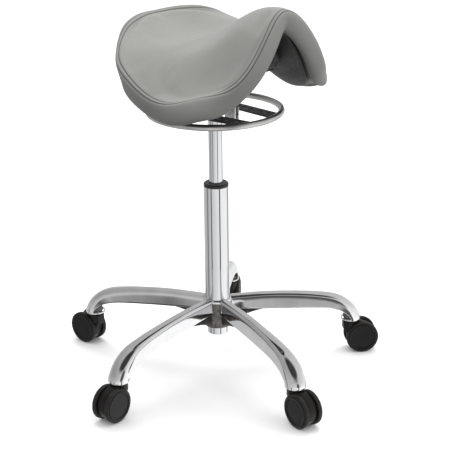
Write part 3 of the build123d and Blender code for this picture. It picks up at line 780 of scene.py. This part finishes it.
# ---------------------------------------------------------------- studio
def floor_and_lights():
    data = bpy.data.meshes.new("floor")
    far = 14.0
    data.from_pydata([(-far, -far, 0), (far, -far, 0), (far, far, 0), (-far, far, 0)], [], [(0, 1, 2, 3)])
    made, tree, shader = new_material("floor", Roughness=0.9)
    shader.inputs["Specular IOR Level"].default_value = 0.1
    paper = clouds(tree, place(tree), 3.0)
    tree.links.new(tint(tree, paper, (0.93, 0.93, 0.93), (0.95, 0.95, 0.95)), shader.inputs["Base Color"])
    data.materials.append(made)
    floor = bpy.data.objects.new("floor", data)
    bpy.context.scene.collection.objects.link(floor)
    floor.visible_glossy = floor.visible_diffuse = False
    for name, spot, size, power in (("key", (0.7, 0.2, 3.3), 2.2, 47), ("fill", (1.9, -2.8, 1.4), 2.4, 31),
                                    ("back", (1.2, 2.4, 2.8), 2.4, 26)):
        lamp = bpy.data.lights.new(name, "AREA")
        lamp.shape, lamp.size, lamp.energy = "DISK", size, power
        lamp.specular_factor = 0.35
        made = bpy.data.objects.new(name, lamp)
        made.location = spot
        made.rotation_mode = "QUATERNION"
        made.rotation_quaternion = (Vector((0, 0, 0.45)) - Vector(spot)).to_track_quat("-Z", "Y")
        made.visible_camera = made.visible_glossy = False
        bpy.context.scene.collection.objects.link(made)


def bearing(turn, rise):
    """Unit vector at a compass angle from +X and a height, in degrees."""
    a, e = math.radians(turn), math.radians(rise)
    return (math.cos(a) * math.cos(e), math.sin(a) * math.cos(e), math.sin(e))


def make_world():
    """Even white light, and for reflections a studio with dark gaps between its panels."""
    world = bpy.data.worlds.new("studio")
    bpy.context.scene.world = world
    world.use_nodes = True
    tree = world.node_tree
    tree.nodes.clear()
    look = node(tree, "TexCoord").outputs["Generated"]
    parts = node(tree, "SeparateXYZ", {0: look}).outputs

    def lobe(turn, rise, inner, outer):
        """1 inside a cone about a direction, falling to 0."""
        facing = node(tree, "VectorMath", {0: look, 1: bearing(turn, rise)}, operation="DOT_PRODUCT").outputs["Value"]
        made = node(tree, "MapRange", {"Value": facing, "From Min": math.cos(math.radians(outer)),
                                       "From Max": math.cos(math.radians(inner))}, interpolation_type="SMOOTHSTEP")
        return made.outputs["Result"]

    def strip(turn, half, soft):
        """1 in an upright strip at a compass angle."""
        across = bearing(turn + 90, 0)
        side = node(tree, "VectorMath", {0: look, 1: across}, operation="DOT_PRODUCT").outputs["Value"]
        level = node(tree, "Math", {0: side}, operation="ABSOLUTE").outputs[0]
        thin = node(tree, "MapRange", {"Value": level, "From Min": math.sin(math.radians(half + soft)),
                                       "From Max": math.sin(math.radians(half))}).outputs["Result"]
        front = node(tree, "VectorMath", {0: look, 1: bearing(turn, 0)}, operation="DOT_PRODUCT").outputs["Value"]
        ahead = node(tree, "Math", {0: front, 1: 0.0}, operation="GREATER_THAN").outputs[0]
        below = node(tree, "MapRange", {"Value": parts["Z"], "From Min": -0.14, "From Max": -0.22}).outputs["Result"]
        kept = node(tree, "Math", {0: thin, 1: ahead}, operation="MULTIPLY").outputs[0]
        return node(tree, "Math", {0: kept, 1: below}, operation="MULTIPLY").outputs[0]

    camera_turn = 222.4
    darks = [(lobe(camera_turn + 12, 58, 24, 42), 0.93), (lobe(camera_turn + 26, 5, 9, 19), 0.88),
             (strip(camera_turn + 31, 3.0, 4.0), 0.93), (strip(camera_turn - 47, 2.5, 3.5), 0.90),
             (strip(camera_turn - 88, 4.0, 8.0), 0.55), (strip(camera_turn - 170, 5.0, 5.0), 0.5),
             (strip(camera_turn + 128, 7.0, 7.0), 0.6)]
    level = node(tree, "MapRange", {"Value": parts["Z"], "From Min": -0.34, "From Max": 0.34, "To Min": 0.95,
                                    "To Max": 0.56}).outputs["Result"]
    rightward = node(tree, "VectorMath", {0: look, 1: bearing(camera_turn + 80, 0)},
                     operation="DOT_PRODUCT").outputs["Value"]
    lean = node(tree, "Math", {0: rightward, 1: 0.34, 2: 0.92}, operation="MULTIPLY_ADD").outputs[0]
    level = node(tree, "Math", {0: level, 1: lean}, operation="MULTIPLY").outputs[0]
    for share, depth in darks:
        cut = node(tree, "Math", {0: share, 1: -depth, 2: 1.0}, operation="MULTIPLY_ADD").outputs[0]
        level = node(tree, "Math", {0: level, 1: cut}, operation="MULTIPLY").outputs[0]
    mirrored = node(tree, "Background", {"Strength": level, "Color": (1, 1, 1, 1)})
    skylight = node(tree, "MapRange", {"Value": parts["Z"], "From Min": -0.30, "From Max": 0.75, "To Min": 0.20,
                                       "To Max": 1.25}).outputs["Result"]
    ambient = node(tree, "Background", {"Strength": skylight, "Color": (1.0, 1.0, 1.0, 1)})
    seen = node(tree, "Background", {"Strength": 1.0, "Color": (1, 1, 1, 1)})
    path = node(tree, "LightPath").outputs
    first = node(tree, "MixShader", {0: path["Is Glossy Ray"], 1: ambient.outputs[0], 2: mirrored.outputs[0]})
    last = node(tree, "MixShader", {0: path["Is Camera Ray"], 1: first.outputs[0], 2: seen.outputs[0]})
    out = node(tree, "OutputWorld")
    tree.links.new(last.outputs[0], out.inputs["Surface"])


def make_camera():
    # Place, target, lens and roll are results of a least-squares fit too.
    lens = bpy.data.cameras.new("camera")
    lens.sensor_width, lens.lens = 36.0, 101.25
    lens.clip_start, lens.clip_end = 0.05, 60.0
    made = bpy.data.objects.new("camera", lens)
    bpy.context.scene.collection.objects.link(made)
    spot = Vector((-1.7647, -1.6131, 1.1844))
    target = Vector((0.01196, -0.01328, 0.30698))
    ahead = (target - spot).normalized()
    right = ahead.cross(Vector((0, 0, 1))).normalized()
    up = right.cross(ahead)
    roll = -0.0111871
    right, up = right * math.cos(roll) + up * math.sin(roll), up * math.cos(roll) - right * math.sin(roll)
    turned = Matrix((right, up, -ahead)).transposed().to_4x4()
    made.matrix_world = Matrix.Translation(spot) @ turned
    bpy.context.scene.camera = made


floor_and_lights()
make_world()
make_camera()
bpy.context.scene.view_settings.view_transform = "Standard"
